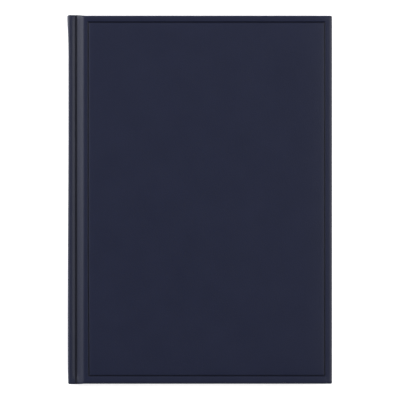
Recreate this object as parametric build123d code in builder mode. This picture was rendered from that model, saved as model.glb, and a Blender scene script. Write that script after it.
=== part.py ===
from build123d import *
import os
from math import cos, radians, sin, tan

# A pilot logbook: a case-bound A4 book with padded covers and a square, hollow back.
#
# It lies closed on its back cover. X runs from the spine to the fore edge, Y from the foot to the head, Z up.
# The origin is under the middle of the case, on the surface that the book lies on.

# Driving dimensions, in millimetres
PAGE_W = 210.0          # A4 leaves
PAGE_H = 297.0
LEAF_T = 0.14           # one leaf's share of the pressed block
LEAVES = 8              # in one signature
SIGNATURES = 12
SQUARE = 3.0            # the case stands this far past the leaves
SKIN = 0.5              # leatherette
FOAM = 1.5
BOARD = 2.5             # greyboard
ENDPAPER = 0.16
MULL = 0.3              # gauze on the back of the block
LINING = 0.2            # kraft paper and headband tape
SPINE_BOARD = 2.0
TURN_IN = 15.0          # leatherette folded over onto the inner face
CORNER_R = 1.2          # corners of the case, seen from above
COVER_EDGE_R = 2.0      # padded outer edge of a cover
GAP = 0.04              # between pieces that part when the book opens
HAIR = 0.02             # between layers that stay together

# The spine and the joints beside it
FOLD_IN = 4.0           # from the spine's outer face to the folds of the signatures
RIDGE_OVER = 1.7        # centre of the spine's rounded edge above a cover's inner face
SHOULDER_IN = 7.0       # endpapers are tipped on up to here, and the leaves turn here
BOARD_IN = 10.0         # the cover boards start here
SLOPE_IN = 12.4         # the padded slope ends here
SLOPE_ANGLE = 30.0      # degrees
GROOVE_OVER = 0.95      # middle of the leatherette at the bottom of the joint groove
GROOVE_IN = 6.65        # the groove starts to rise to the cover here
RIDGE_TANGENT = 27.0    # degrees, from the ridge down to the groove
SPINE_HEAD = 152.1      # the spine's cap stands a little above the covers
SPINE_FOOT = -151.7
JOINT_HEAD = 151.8
JOINT_FOOT = -151.6

# The border line pressed into each cover
LINE_DEPTH = 0.6
LINE_W_ACROSS = 1.1     # the lines along the head and the foot
LINE_W_ALONG = 0.8      # the lines along the spine and the fore edge
LINE_FROM_SPINE = 16.4
LINE_FROM_FORE = 6.0
LINE_FROM_HEAD = 5.1
LINE_FROM_FOOT = 6.8

# Sewing
STATIONS = 8
STATION_PITCH = 39.0
THREAD_R = 0.18
PIERCING_R = 0.14       # the thread is pulled thinner where it passes through a fold
CHANNEL_R = 0.25
CHANNEL_IN = 1.0        # from the fold to the middle of the sewing channel
LINK_OUT = 0.2          # from the fold out to the links between signatures
MULL_REACH = 133.0      # half the height of the mull
MULL_FLANGE = 30.0      # width glued to each board
LINING_REACH = 135.0
BEAD_R = 0.8            # headband
BEAD_IN = 3.9
BAND_SKIRT = 12.0

# Sizes that follow from them
CASE_W = FOLD_IN + PAGE_W + SQUARE
CASE_H = PAGE_H + 2 * SQUARE
COVER_T = ENDPAPER + SKIN + BOARD + FOAM + SKIN
SIGNATURE_T = LEAVES * LEAF_T
BLOCK_T = SIGNATURES * SIGNATURE_T
BOOK_T = BLOCK_T + 2 * (COVER_T + 2 * GAP + ENDPAPER)
INNER = BOOK_T - COVER_T                # the front cover's inner face
MIDDLE = Plane.XY.offset(BOOK_T / 2)
RIDGE_Z = INNER + RIDGE_OVER
SPINE_X = -CASE_W / 2
FORE_X = CASE_W / 2
FOLD_X = SPINE_X + FOLD_IN
PAGE_X = FOLD_X + PAGE_W
SHOULDER_X = SPINE_X + SHOULDER_IN
BOARD_X = SPINE_X + BOARD_IN
SLOPE_X = SPINE_X + SLOPE_IN
RIDGE_R = SKIN + SPINE_BOARD / 2
BLOCK_TOP = INNER - 2 * GAP - ENDPAPER
BOARD_LOW = INNER + ENDPAPER + SKIN
BOARD_TOP = BOARD_LOW + BOARD

os.makedirs("parts", exist_ok=True)


def save(piece, label):
    """Name a finished piece and write it."""
    piece.part.label = label
    export_step(piece.part, f"parts/{label}.step")


def save_mirrored(piece, label):
    """Write the same piece for the other cover, mirrored in the middle of the book."""
    with BuildPart() as other:
        mirror(piece.part, about=MIDDLE)
    save(other, label)


def slab(x_span, y_span, z_span, mode=Mode.ADD):
    """Add or take away a plain block between three pairs of places."""
    with Locations((x_span[0], y_span[0], z_span[0])):
        Box(
            x_span[1] - x_span[0],
            y_span[1] - y_span[0],
            z_span[1] - z_span[0],
            align=(Align.MIN, Align.MIN, Align.MIN),
            mode=mode,
        )


def cover_solid(inset):
    """A whole padded cover with its border line, drawn this far inside the leatherette's outer face."""
    low = INNER + ENDPAPER + inset
    high = BOOK_T - inset
    slope_z = BOARD_TOP + (SKIN - inset) / cos(radians(SLOPE_ANGLE))
    line_x = (SPINE_X + LINE_FROM_SPINE, FORE_X - LINE_FROM_FORE)
    line_y = (LINE_FROM_FOOT - CASE_H / 2, CASE_H / 2 - LINE_FROM_HEAD)
    along = LINE_W_ALONG + 2 * inset
    across = LINE_W_ACROSS + 2 * inset
    with BuildPart() as solid:
        with BuildSketch(Plane.XZ):
            with BuildLine():
                Polyline(
                    (BOARD_X, low),
                    (FORE_X - inset, low),
                    (FORE_X - inset, high),
                    (SLOPE_X + inset / 2, high),
                    (BOARD_X, slope_z),
                    close=True,
                )
            make_face()
        extrude(amount=CASE_H / 2 - inset, both=True)
        fillet(edges().filter_by(Axis.Z).group_by(Axis.X)[-1], radius=CORNER_R - inset)
        rim = faces().sort_by(Axis.Z)[-1].edges()
        fillet(rim - rim.filter_by(Axis.Y).group_by(Axis.X)[0], radius=COVER_EDGE_R - inset)
        with BuildSketch(Plane.XY.offset(high)):
            with Locations(((line_x[0] + line_x[1]) / 2, (line_y[0] + line_y[1]) / 2)):
                Rectangle(line_x[1] - line_x[0] + along, line_y[1] - line_y[0] + across)
                Rectangle(
                    line_x[1] - line_x[0] - along,
                    line_y[1] - line_y[0] - across,
                    mode=Mode.SUBTRACT,
                )
        extrude(amount=-LINE_DEPTH, mode=Mode.SUBTRACT)
    return solid.part


# Front board, foam and leatherette. The board and the foam fill the leatherette's inside.

core = cover_solid(SKIN)

with BuildPart() as board:
    add(core)
    split(bisect_by=Plane.XY.offset(BOARD_TOP), keep=Keep.BOTTOM)

with BuildPart() as foam:
    add(core)
    split(bisect_by=Plane.XY.offset(BOARD_TOP), keep=Keep.TOP)

INSIDE_EDGE_X = FORE_X - SKIN - TURN_IN
INSIDE_EDGE_Y = CASE_H / 2 - SKIN - TURN_IN
inside_x = (BOARD_X, INSIDE_EDGE_X)
inside_y = (-INSIDE_EDGE_Y, INSIDE_EDGE_Y)

with BuildPart() as cover_skin:
    add(cover_solid(0))
    add(core, mode=Mode.SUBTRACT)
    slab(inside_x, inside_y, (INNER + ENDPAPER, BOARD_LOW), mode=Mode.SUBTRACT)

# Mull flange, glued to the board under the pastedown.

FLANGE_X = BOARD_X + MULL_FLANGE
mull_y = (-MULL_REACH, MULL_REACH)
MULL_LOW = BOARD_LOW - MULL

with BuildPart() as mull_flange:
    slab((BOARD_X, FLANGE_X), mull_y, (MULL_LOW, BOARD_LOW))

# Pastedown: it lies over the turn-ins round three sides and steps down to the mull and the board inside them.

PASTE_Y = CASE_H / 2 - SQUARE
PASTE_FORE_X = FORE_X - SQUARE
UNDER_RIM = INNER + ENDPAPER
BOARD_STEP_X = FLANGE_X + ENDPAPER
step_y = (ENDPAPER - INSIDE_EDGE_Y, INSIDE_EDGE_Y - ENDPAPER)

with BuildPart() as pastedown:
    slab((BOARD_X, PASTE_FORE_X), (-PASTE_Y, PASTE_Y), (INNER, BOARD_LOW))
    slab((INSIDE_EDGE_X, PASTE_FORE_X), (-PASTE_Y, PASTE_Y), (UNDER_RIM, BOARD_LOW), mode=Mode.SUBTRACT)
    slab(inside_x, (INSIDE_EDGE_Y, PASTE_Y), (UNDER_RIM, BOARD_LOW), mode=Mode.SUBTRACT)
    slab(inside_x, (-PASTE_Y, -INSIDE_EDGE_Y), (UNDER_RIM, BOARD_LOW), mode=Mode.SUBTRACT)
    slab((BOARD_X, FLANGE_X), mull_y, (MULL_LOW, BOARD_LOW), mode=Mode.SUBTRACT)
    slab((BOARD_X, BOARD_STEP_X), step_y, (INNER, MULL_LOW - ENDPAPER), mode=Mode.SUBTRACT)
    slab((BOARD_STEP_X, INSIDE_EDGE_X - ENDPAPER), step_y, (INNER, BOARD_LOW - ENDPAPER), mode=Mode.SUBTRACT)

# Free flyleaf: the other half of the endpaper.

LEAF_START_X = SHOULDER_X + HAIR

with BuildPart() as flyleaf:
    slab((LEAF_START_X, PAGE_X), (-PAGE_H / 2, PAGE_H / 2), (INNER - GAP - ENDPAPER, INNER - GAP))

# The fold between the two, tipped to the outer signature along the shoulder.

with BuildPart() as endpaper_fold:
    with BuildSketch(Plane.XZ):
        with BuildLine():
            Polyline(
                (SHOULDER_X, INNER - GAP - ENDPAPER),
                (SHOULDER_X, INNER - GAP),
                (FOLD_X + 2 * ENDPAPER, INNER - GAP),
                (FOLD_X + 2 * ENDPAPER, INNER + HAIR),
                (SHOULDER_X, INNER + HAIR),
                (SHOULDER_X, INNER + HAIR + ENDPAPER),
                (FOLD_X + ENDPAPER, INNER + HAIR + ENDPAPER),
                (FOLD_X + ENDPAPER, INNER - GAP - ENDPAPER),
                close=True,
            )
        make_face()
    extrude(amount=PAGE_H / 2, both=True)

# Leatherette in the joint: from the spine's ridge down into the groove and up to the cover.
# At the head and the foot it is folded over a second layer, which runs in under the groove.

RIDGE_MID_R = RIDGE_R - SKIN / 2
RIDGE_X = SPINE_X + RIDGE_R
TANGENT_X = RIDGE_X + RIDGE_MID_R * sin(radians(RIDGE_TANGENT))
TANGENT_Z = RIDGE_Z + RIDGE_MID_R * cos(radians(RIDGE_TANGENT))
GROOVE_Z = INNER + GROOVE_OVER
GROOVE_NEAR_X = TANGENT_X + (TANGENT_Z - GROOVE_Z) / tan(radians(RIDGE_TANGENT))
GROOVE_FAR_X = SPINE_X + GROOVE_IN
TURN_BEND_X = GROOVE_NEAR_X - SKIN
RISE_TOP_Z = BOARD_TOP + SKIN / 2 / cos(radians(30))
TURN_LAYER_Z = GROOVE_Z - SKIN
TURN_START_X = SPINE_X + RIDGE_R + SPINE_BOARD
JOINT_END_X = BOARD_X - HAIR
GROOVE_R = 1.0

with BuildPart() as joint_skin:
    with BuildSketch(Plane.XZ.offset(-JOINT_HEAD)):
        with BuildLine():
            FilletPolyline(
                (TANGENT_X, TANGENT_Z),
                (GROOVE_NEAR_X, GROOVE_Z),
                (GROOVE_FAR_X, GROOVE_Z),
                (BOARD_X, RISE_TOP_Z),
                radius=GROOVE_R,
            )
        trace(line_width=SKIN)
    extrude(amount=JOINT_HEAD - JOINT_FOOT)
    for end, inward in ((JOINT_HEAD, 1), (JOINT_FOOT, -1)):
        with BuildSketch(Plane.XZ.offset(-end)):
            with BuildLine():
                Polyline(
                    (TURN_START_X, GROOVE_Z),
                    (TURN_BEND_X, TURN_LAYER_Z),
                    (BOARD_X, TURN_LAYER_Z),
                )
            trace(line_width=SKIN)
        extrude(amount=inward * TURN_IN)
        with BuildSketch(Plane.XZ.offset(-end)):
            with BuildLine():
                Polyline(
                    (TURN_START_X, GROOVE_Z),
                    (TURN_BEND_X, TURN_LAYER_Z),
                    (BOARD_X, TURN_LAYER_Z),
                    (BOARD_X, RISE_TOP_Z),
                    (GROOVE_FAR_X, GROOVE_Z),
                    (GROOVE_NEAR_X, GROOVE_Z),
                    close=True,
                )
            make_face()
        extrude(amount=inward * SKIN)
    split(bisect_by=Plane.YZ.offset(JOINT_END_X), keep=Keep.BOTTOM)

for piece, label in (
    (board, "board"),
    (foam, "foam"),
    (cover_skin, "cover_skin"),
    (mull_flange, "mull_flange"),
    (pastedown, "pastedown"),
    (flyleaf, "flyleaf"),
    (endpaper_fold, "endpaper_fold"),
    (joint_skin, "joint_skin"),
):
    save(piece, f"front_{label}")
    save_mirrored(piece, f"back_{label}")

# Spine board, a stiff strip with rounded edges.

RIDGE_SPACING = 2 * (RIDGE_Z - BOOK_T / 2)

with BuildPart() as spine_board:
    with BuildSketch(Plane.XZ.offset(-SPINE_HEAD + SKIN)):
        with Locations((RIDGE_X, BOOK_T / 2)):
            SlotCenterToCenter(RIDGE_SPACING, SPINE_BOARD, rotation=90)
    extrude(amount=SPINE_HEAD - SPINE_FOOT - 2 * SKIN)
save(spine_board, "spine_board")

# Leatherette round the spine, folded over its head and foot and down inside.

with BuildPart() as spine_skin:
    with BuildSketch(Plane.XZ.offset(-SPINE_HEAD)):
        with BuildLine():
            Line((SPINE_X + SKIN / 2, BOOK_T - RIDGE_Z), (SPINE_X + SKIN / 2, RIDGE_Z))
            CenterArc((RIDGE_X, RIDGE_Z), RIDGE_MID_R, 180, -90 - RIDGE_TANGENT)
            CenterArc((RIDGE_X, BOOK_T - RIDGE_Z), RIDGE_MID_R, 180, 90 + RIDGE_TANGENT)
        trace(line_width=SKIN)
    extrude(amount=SPINE_HEAD - SPINE_FOOT)
    for end, inward in ((SPINE_HEAD, 1), (SPINE_FOOT, -1)):
        with BuildSketch(Plane.XZ.offset(-end)):
            with Locations((RIDGE_X, BOOK_T / 2)):
                SlotCenterToCenter(RIDGE_SPACING, SPINE_BOARD, rotation=90)
        extrude(amount=inward * SKIN)
        with BuildSketch(Plane.XZ.offset(-end)):
            with Locations((RIDGE_X + RIDGE_MID_R, BOOK_T / 2)):
                Rectangle(SKIN, RIDGE_SPACING)
        extrude(amount=inward * TURN_IN)
save(spine_skin, "spine_skin")

# Signatures: eight leaves each, folded at the back, pierced at the sewing stations.
# The first one's outer leaves are cut off at the shoulder, because they turn on their own.

CHANNEL_X = FOLD_X + CHANNEL_IN
FREE_LEAVES = ("title_leaf", "holder_details_leaf", "log_leaf_1", "log_leaf_2")
FREE_T = len(FREE_LEAVES) * LEAF_T
station_places = [(number - (STATIONS - 1) / 2) * STATION_PITCH for number in range(STATIONS)]
signature_tops = [BLOCK_TOP - number * SIGNATURE_T for number in range(SIGNATURES)]


for number, top in enumerate(signature_tops, start=1):
    thick = SIGNATURE_T - HAIR
    centre = top - thick / 2
    with BuildPart() as signature:
        with BuildSketch(Plane.XZ):
            with Locations((FOLD_X + thick / 2, centre)):
                Circle(thick / 2)
            with Locations(((FOLD_X + thick / 2 + PAGE_X) / 2, centre)):
                Rectangle(PAGE_X - FOLD_X - thick / 2, thick)
            with Locations((CHANNEL_X, centre)):
                Circle(CHANNEL_R, mode=Mode.SUBTRACT)
        extrude(amount=PAGE_H / 2, both=True)
        with BuildSketch(Plane.YZ.offset(FOLD_X - HAIR)):
            with Locations([(place, centre) for place in station_places]):
                Circle(CHANNEL_R)
        extrude(amount=CHANNEL_IN, mode=Mode.SUBTRACT)
        if number == 1:
            slab((SHOULDER_X, PAGE_X), (-PAGE_H / 2, PAGE_H / 2), (top - FREE_T, top), mode=Mode.SUBTRACT)
    save(signature, f"signature_{number:02d}")

for number, label in enumerate(FREE_LEAVES):
    top = BLOCK_TOP - number * LEAF_T
    with BuildPart() as leaf:
        slab((LEAF_START_X, PAGE_X), (-PAGE_H / 2, PAGE_H / 2), (top - LEAF_T + HAIR, top))
    save(leaf, label)

# Sewing thread: a run in each fold, out through each station, linked from signature to signature.

LINK_X = FOLD_X - LINK_OUT
THREAD_REACH = station_places[-1]
signature_heights = [top - (SIGNATURE_T - HAIR) / 2 for top in signature_tops]
LINK_T = signature_heights[0] - signature_heights[-1]

with BuildPart() as sewing_thread:
    with BuildSketch(Plane.XZ):
        with Locations([(CHANNEL_X, height) for height in signature_heights]):
            Circle(THREAD_R)
    extrude(amount=THREAD_REACH, both=True)
    with BuildSketch(Plane.YZ.offset(LINK_X)):
        with Locations([(place, height) for place in station_places for height in signature_heights]):
            Circle(PIERCING_R)
    extrude(amount=CHANNEL_X - LINK_X)
    with BuildSketch(Plane.XY.offset(BOOK_T / 2)):
        with Locations([(LINK_X, place) for place in station_places]):
            Circle(THREAD_R)
    extrude(amount=LINK_T / 2 + THREAD_R, both=True)
save(sewing_thread, "sewing_thread")

# Mull: gauze over the back of the block and round both shoulders.

MULL_X = FOLD_X - 2 * LINK_OUT - MULL / 2
MULL_Z = INNER + HAIR + ENDPAPER + HAIR + MULL / 2

with BuildPart() as mull_lining:
    with BuildSketch(Plane.XZ):
        with BuildLine():
            FilletPolyline(
                (SHOULDER_X, MULL_Z),
                (MULL_X, MULL_Z),
                (MULL_X, BOOK_T - MULL_Z),
                (SHOULDER_X, BOOK_T - MULL_Z),
                radius=MULL,
            )
        trace(line_width=MULL)
    extrude(amount=MULL_REACH, both=True)
save(mull_lining, "mull_lining")

# Kraft paper lining behind the mull.

LINING_X = MULL_X - MULL / 2 - LINING - HAIR
lining_span = (LINING_X, LINING_X + LINING)
block_span = (BOOK_T / 2 - BLOCK_T / 2, BOOK_T / 2 + BLOCK_T / 2)

with BuildPart() as kraft_lining:
    slab(lining_span, (-LINING_REACH, LINING_REACH), block_span)
save(kraft_lining, "kraft_spine_lining")

# Headband and tailband: a bead across the end of the block, on a tape glued to its back.

BEAD_Y = PAGE_H / 2 + BEAD_R + HAIR

with BuildPart() as headband:
    with BuildSketch(Plane.XY.offset(block_span[0])):
        with Locations((SPINE_X + BEAD_IN, BEAD_Y)):
            Circle(BEAD_R)
    extrude(amount=BLOCK_T)
    slab(lining_span, (PAGE_H / 2 - BAND_SKIRT, BEAD_Y), block_span)
save(headband, "headband")

with BuildPart() as tailband:
    mirror(headband.part, about=Plane.XZ)
save(tailband, "tailband")
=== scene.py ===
import math
import random

import bmesh
import bpy
import numpy as np
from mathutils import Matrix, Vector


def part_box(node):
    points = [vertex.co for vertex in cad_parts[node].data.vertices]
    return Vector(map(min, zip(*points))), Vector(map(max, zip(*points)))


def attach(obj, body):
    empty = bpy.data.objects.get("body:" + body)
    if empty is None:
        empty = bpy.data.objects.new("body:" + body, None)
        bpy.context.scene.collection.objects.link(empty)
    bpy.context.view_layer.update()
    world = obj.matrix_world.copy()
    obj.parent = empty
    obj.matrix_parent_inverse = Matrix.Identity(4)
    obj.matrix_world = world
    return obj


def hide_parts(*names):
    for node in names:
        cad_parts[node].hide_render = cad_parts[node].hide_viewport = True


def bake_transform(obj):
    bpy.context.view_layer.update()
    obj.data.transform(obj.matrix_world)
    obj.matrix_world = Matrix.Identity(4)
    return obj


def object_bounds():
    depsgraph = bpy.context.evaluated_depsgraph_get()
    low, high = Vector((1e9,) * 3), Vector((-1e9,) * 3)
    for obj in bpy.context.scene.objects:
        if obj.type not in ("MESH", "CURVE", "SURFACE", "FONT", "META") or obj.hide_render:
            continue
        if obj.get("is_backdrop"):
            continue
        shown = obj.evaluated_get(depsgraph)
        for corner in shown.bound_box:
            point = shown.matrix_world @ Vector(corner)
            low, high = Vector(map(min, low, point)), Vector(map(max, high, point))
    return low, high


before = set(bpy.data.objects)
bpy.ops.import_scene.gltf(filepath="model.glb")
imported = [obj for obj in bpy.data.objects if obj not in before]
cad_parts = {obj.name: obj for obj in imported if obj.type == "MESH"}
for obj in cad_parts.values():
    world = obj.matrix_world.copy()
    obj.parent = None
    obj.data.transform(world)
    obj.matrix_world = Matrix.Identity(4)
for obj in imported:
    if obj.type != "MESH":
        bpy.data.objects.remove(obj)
cad_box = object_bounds()

mm = 0.001

# ---------------------------------------------------------------- Studio
# The logbook lies shut on a plain pale sweep, seen square on from above through a long lens.
# Two wide softboxes stand low at its sides, the left one nearer the head, between brighter side walls.

book_low, book_high = cad_box
book_middle = (book_low + book_high) / 2
case_low, case_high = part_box("front_cover_skin")
case_low.y -= 0.25 * mm                     # the covering's own fullness at foot, head and fore edge
case_high.y += 0.10 * mm
case_high.x += 0.08 * mm

camera_height = 3.0
view_across = 329.1 * mm
camera_data = bpy.data.cameras.new("studio_camera")
camera_data.sensor_width = 36.0
camera_data.lens = camera_data.sensor_width * camera_height / view_across
camera_data.dof.use_dof = False
camera_data.clip_end = 50.0
camera = bpy.data.objects.new("studio_camera", camera_data)
camera.location = (-0.16 * mm, -0.33 * mm, case_high.z + camera_height)
bpy.context.collection.objects.link(camera)
bpy.context.scene.camera = camera

floor_reach = 8.0
floor_mesh = bpy.data.meshes.new("studio_floor")
floor_corners = [(x * floor_reach, y * floor_reach, 0) for x, y in ((-1, -1), (1, -1), (1, 1), (-1, 1))]
floor_mesh.from_pydata(floor_corners, [], [(0, 1, 2, 3)])
floor = bpy.data.objects.new("studio_floor", floor_mesh)
bpy.context.collection.objects.link(floor)
floor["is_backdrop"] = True


def plain_material(name, colour, roughness):
    """A new material, and its principled shader, in one colour."""
    material = bpy.data.materials.new(name)
    material.use_nodes = True
    shader = material.node_tree.nodes["Principled BSDF"]
    shader.inputs["Base Color"].default_value = (*colour, 1.0)
    shader.inputs["Roughness"].default_value = roughness
    return material, shader


floor_material, floor_shader = plain_material("studio_floor", (0.9, 0.9, 0.9), 0.9)
floor_shader.inputs["Specular IOR Level"].default_value = 0.0
floor_shader.inputs["Emission Color"].default_value = (1.0, 1.0, 1.0, 1.0)
floor_shader.inputs["Emission Strength"].default_value = 0.78
floor_mesh.materials.append(floor_material)


def softbox(name, place, size, power):
    """A square area light at this place that faces the book and isn't itself seen."""
    data = bpy.data.lights.new(name, "AREA")
    data.shape = "SQUARE"
    data.size = size
    data.energy = power
    light = bpy.data.objects.new(name, data)
    bpy.context.collection.objects.link(light)
    light.location = place
    light.rotation_euler = (book_middle - light.location).to_track_quat("-Z", "Y").to_euler()
    light.visible_camera = False


softbox("softbox_left", (-1.45, 0.72, 0.92), 1.2, 27.8)
softbox("softbox_right", (1.2, 0.35, 1.2), 1.1, 13.0)


def add_node(tree, kind, inputs=None, **settings):
    """A new node with these settings. Each input gets a value, or a link where it is given a socket."""
    node = tree.nodes.new(kind)
    for name, value in settings.items():
        setattr(node, name, value)
    for place, value in (inputs or {}).items():
        if isinstance(value, bpy.types.NodeSocket):
            tree.links.new(value, node.inputs[place])
        else:
            node.inputs[place].default_value = value
    return node


def maths(tree, operation, *values):
    """The result of one sum on sockets and numbers."""
    return add_node(tree, "ShaderNodeMath", dict(enumerate(values)), operation=operation).outputs[0]


overhead_glow, side_glow = 0.07, 0.60
world = bpy.data.worlds.new("studio_world")
world.use_nodes = True
sky = world.node_tree
toward = add_node(sky, "ShaderNodeSeparateXYZ", {0: add_node(sky, "ShaderNodeTexCoord").outputs["Generated"]})
side_share = maths(sky, "MULTIPLY", toward.outputs["X"], toward.outputs["X"])
glow = add_node(sky, "ShaderNodeMapRange", {"Value": side_share, "To Min": overhead_glow, "To Max": side_glow})
sky.links.new(glow.outputs[0], sky.nodes["Background"].inputs["Strength"])
sky.nodes["Background"].inputs["Color"].default_value = (1.0, 1.0, 1.0, 1.0)
bpy.context.scene.world = world
bpy.context.scene.view_settings.view_transform = "Standard"

# ---------------------------------------------------------------- Case, front and back
# Each cover is one run of fine-grained navy leatherette over foam and board: out of the joint groove, up the padded
# slope, across the panel with its struck border line, round the edges and in over the inner face. It is pasted to
# the board, painted darker in the border line and the bottom of the joint groove (painted shade in these recesses,
# and in the line also the darkening its striking gives), and rubbed a shade lighter along the outer edges.

spine_x = book_low.x
inner_z = case_low.z - 0.16 * mm            # the front cover's inner face
book_thick = book_high.z
leather_thick = 0.5 * mm
panel_edge = 2.2 * mm                       # how far in the padded edge's rounding goes
corner_round = 1.2 * mm
turn_in = 15.5 * mm
ridge_start = 1.75 * mm                     # where the joint leaves the spine's ridge
head_more, foot_more = 0.45 * mm, 0.35 * mm # the case is a little taller beside the spine
ridge_height, ridge_fall = 3.21, 0.10       # in millimetres over the inner face, and per millimetre
joint_bends = (                             # millimetres from the spine, change of slope, softness
    (2.6, -0.15, 0.30),
    (3.6, -0.20, 0.40),
    (4.6, -0.15, 0.30),
    (5.45, -2.60, 0.06),
    (5.68, 3.20, 0.06),
    (7.02, 0.74, 0.07),
    (12.4, -0.74, 0.75),
)
board_corner = 10.0                         # millimetres from the spine to the board's edge

line_x = (spine_x + 16.4 * mm, case_high.x - 6.08 * mm)
line_y = (case_low.y + 6.8 * mm, case_high.y - 5.65 * mm)
line_deep = 0.58 * mm
line_half_across = 0.52 * mm                # the head and foot lines are the wider ones
line_half_along = 0.47 * mm

pillow_high = 0.34 * mm
pillow_ease = (1.3 * mm, 5.0 * mm, 4.5 * mm, 1.2 * mm) # from the spine, fore edge, foot and head lines
pillow_ease_outside = 1.7 * mm
crown_low = 0.10 * mm
wave_high = 0.02 * mm
fore_fall, fore_ease, margin_fall = 0.45 * mm, 6.0 * mm, 0.11


def smooth(value):
    """Zero to one, eased at both ends."""
    share = np.clip(value, 0.0, 1.0)
    return share * share * (3.0 - 2.0 * share)


def joint_profile(x):
    """Height of the leatherette's outer face over the inner face: ridge, groove, slope, then flat."""
    run = (x - spine_x) / mm
    height = ridge_height - ridge_fall * (run - ridge_start / mm)
    for bend, turn, soft in joint_bends:
        height += turn * soft * np.logaddexp(0.0, (run - bend) / soft)
    return height * mm


def near_line(x, y):
    """Distance from the border line, over zero inside it, and the half width of the line there."""
    to_x = np.minimum(x - line_x[0], line_x[1] - x)
    to_y = np.minimum(y - line_y[0], line_y[1] - y)
    return np.minimum(to_x, to_y), np.where(to_x < to_y, line_half_along, line_half_across)


def struck_mask(x, y):
    """One in the bottom of the border line, none outside it."""
    distance, half = near_line(x, y)
    return smooth((1.25 * half - np.abs(distance)) / (0.75 * half))


def groove_mask(x):
    """One in the bottom of the joint groove, none outside it: the mask of the groove's painted shade."""
    run = (x - spine_x) / mm
    return np.clip((run - 5.4) / 0.4, 0.0, 1.0) * np.clip((7.4 - run) / 0.4, 0.0, 1.0)


def groove_fill(x, y):
    """How much shallower the groove gets in its last few millimetres, most at the foot."""
    run = (x - spine_x) / mm
    across = np.exp(-(((run - 6.3) / 1.7) ** 2))
    foot = 1.15 * mm * np.exp(-(((y - case_low.y) / (5.5 * mm)) ** 2))
    head = 0.35 * mm * np.exp(-(((y - case_high.y) / (3.0 * mm)) ** 2))
    return across * (foot + head)


def panel_drop(x, y):
    """How far the padded panel lies under its highest level."""
    distance, _ = near_line(x, y)
    inside = 1.0
    for away, ease in zip((x - line_x[0], line_x[1] - x, y - line_y[0], line_y[1] - y), pillow_ease):
        inside = inside * (1.0 - np.exp(-np.maximum(away, 0.0) / ease))
    outside = 1.0 - np.exp(-np.maximum(-distance, 0.0) / pillow_ease_outside)
    pillow = pillow_high * (1.0 - np.where(distance > 0.0, inside, outside))
    crown = crown_low * ((x / case_high.x) ** 2 + (y / case_high.y) ** 2)
    waves = wave_high * (np.sin(x * 61.0 + 1.3) * np.sin(y * 47.0) + np.sin(x * 23.0 - y * 31.0))
    fall = fore_fall * np.exp(-np.maximum(line_x[1] - x, 0.0) / fore_ease)
    fall = fall + margin_fall * np.maximum(x - line_x[1], 0.0)
    flat_part = np.clip((x - spine_x - 10.0 * mm) / (4.0 * mm), 0.0, 1.0)
    drop = flat_part * (pillow + crown + waves + fall + 2.0 * wave_high)
    return drop - groove_fill(x, y) + line_deep * struck_mask(x, y)


def tool_skew(x, y):
    """The border line along the spine was struck a little out of square, further in towards the foot."""
    run = (x - spine_x) / mm
    ease_in, ease_out = np.clip((run - 13.0) / 2.5, 0.0, 1.0), np.clip((28.0 - run) / 10.0, 0.0, 1.0)
    return 0.55 * mm * smooth((-y - 20.0 * mm) / (130.0 * mm)) * ease_in * ease_out


def stretch(low, high, count):
    """Evenly spaced places from low up to, and without, high."""
    return [low + (high - low) * step / count for step in range(count)]


def across_line(place, reach):
    """Places on both sides of a border line, close together in it."""
    offsets = [0.0, 0.14, 0.28, 0.40, 0.52, 0.66, 0.85, 1.15, 1.6, 2.3, 3.3]
    near = [step * mm for step in offsets if step * mm < reach]
    return [place - step for step in reversed(near)] + [place + step for step in near[1:]]


def cover_columns():
    """X places of the grid, from the spine's ridge to the start of the fore edge's rounding."""
    places, reached = [], spine_x + ridge_start
    for run, count in ((5.2, 16), (5.8, 12), (6.8, 5), (7.4, 6), (13.2, 22)):
        places += stretch(reached, spine_x + run * mm, count)
        reached = spine_x + run * mm
    places += across_line(line_x[0], 3.0 * mm)
    places += stretch(line_x[0] + 5.0 * mm, line_x[1] - 4.5 * mm, 26)
    places += across_line(line_x[1], 3.5 * mm)
    return np.array(places + [case_high.x - panel_edge])


def cover_rows():
    """Y places of the grid, from the foot's rounding to the head's."""
    places = [case_low.y + panel_edge] + across_line(line_y[0], 4.0 * mm)
    places += stretch(line_y[0] + 5.5 * mm, line_y[1] - 5.0 * mm, 34)
    places += across_line(line_y[1], 2.6 * mm)
    return np.array(places + [case_high.y - panel_edge])


def rim_steps():
    """Loops from the turn-in's inner edge out, round the board's lower edge, up and over: (inset, level, rise).

    Level 0 is the inner face, 1 the foot of the padded rounding and 2 its top. Rise is a share of that step."""
    steps = [(turn_in, 0, 0.0)]
    steps += [(inset * mm, 0, 0.0) for inset in (10.0, 6.0, 3.5, 2.0, 1.0, 0.5)]
    steps += [(0.5 * mm * (1.0 - math.sin(turn)), 0, 1.0 - math.cos(turn)) for turn in (0.5, 1.05)]
    steps += [(0.0, 0, 1.0), (0.0, 1, 0.5)]
    turns = [step / 8 * math.pi / 2 for step in range(9)]
    return steps + [(panel_edge * (1.0 - math.cos(turn)), 2, math.sin(turn)) for turn in turns]


def head_reach(x):
    """How much of the spine's extra height the leatherette has, beside the spine."""
    return smooth((14.5 * mm - (x - spine_x)) / (8.0 * mm))


def rim_height(x, y, level, rise):
    """Height of a point of the rim over the inner face."""
    top = joint_profile(x) - panel_drop(x, y)
    low = 0.16 * mm + 0.45 * np.maximum(5.4 * mm - (x - spine_x), 0.0)
    bottom_round = np.minimum(0.5 * mm, 0.25 * (top - low))
    # the leatherette is drawn tighter over the board's corner, where the slope starts
    tighter = 0.28 * np.exp(-(((x - spine_x) / mm - board_corner) / 1.2) ** 2)
    top_round = np.minimum(panel_edge, (0.5 - tighter) * (top - low))
    if level == 0:
        return low + bottom_round * rise
    if level == 1:
        return low + bottom_round + (top - top_round - low - bottom_round) * rise
    return top - top_round + top_round * rise


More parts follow.
